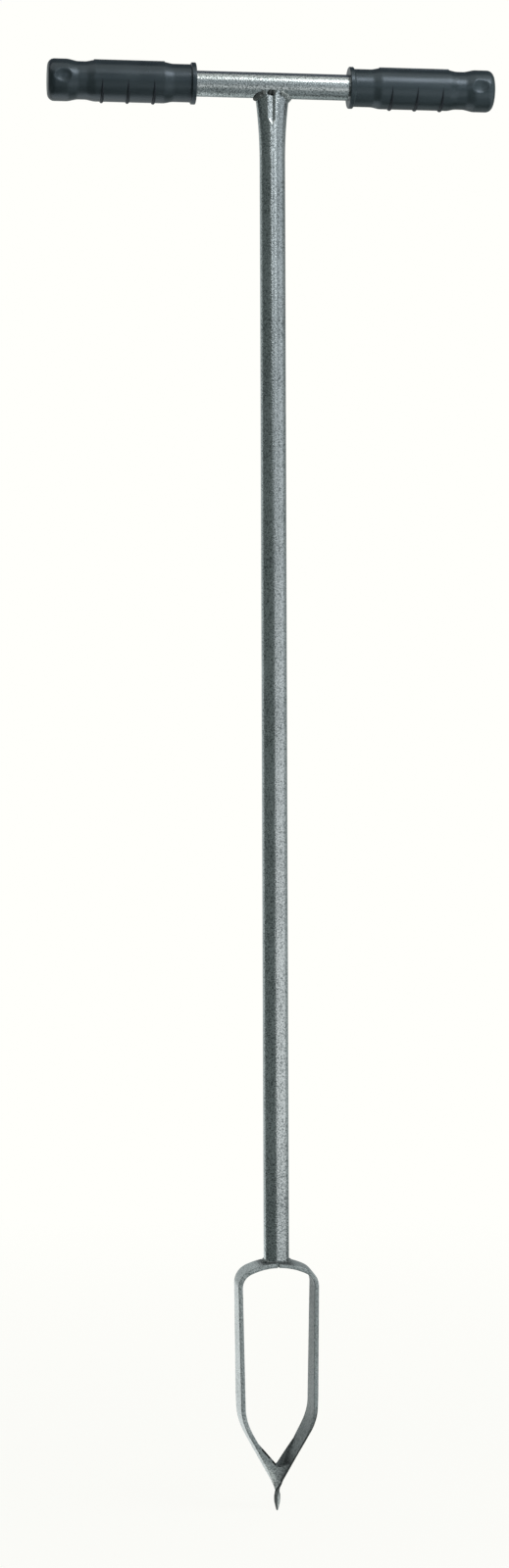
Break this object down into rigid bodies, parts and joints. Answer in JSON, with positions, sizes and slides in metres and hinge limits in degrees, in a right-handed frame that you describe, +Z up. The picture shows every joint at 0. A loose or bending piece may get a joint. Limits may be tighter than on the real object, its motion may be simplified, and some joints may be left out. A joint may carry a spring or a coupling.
{
  "type": "hand earth auger",
  "caption": "T-handled hand auger: a tube shaft with moulded grips on its crossbar and an open head of bent steel blades that closes to a twisted point, for boring holes in soil.",
  "frame": {"origin": "the tip of the point, which is the lowest place, on the shaft's axis", "axes": "+Z up the shaft to the handle, +X along the crossbar, -Y to the front of the head"},
  "size_m": [0.388, 0.037, 1.25],
  "materials": {
    "tube_enamel": "hammertone grey enamel, glossy, finely speckled",
    "weld_enamel": "weld beads under the same grey enamel",
    "blade_enamel": "smooth grey enamel, darker on the ground edges",
    "grip_rubber": "moulded blue-black rubber, half gloss"
  },
  "bodies": {
    "frame": {"crossbar_tube": "tube_enamel", "shaft_tube": "tube_enamel", "crossbar_welds": "weld_enamel", "foot_weld": "weld_enamel", "left_blade": "blade_enamel", "right_blade": "blade_enamel", "throat_plate": "blade_enamel", "lead_point": "blade_enamel"},
    "left_hand_grip": {"left_grip": "grip_rubber"},
    "right_hand_grip": {"right_grip": "grip_rubber"}
  },
  "joints": [
    {"name": "left_grip_slide", "type": "slide", "parent": "frame", "child": "left_hand_grip", "axis": [-1, 0, 0], "range_m": [0, 0.125]},
    {"name": "right_grip_slide", "type": "slide", "parent": "frame", "child": "right_hand_grip", "axis": [1, 0, 0], "range_m": [0, 0.125]}
  ]
}
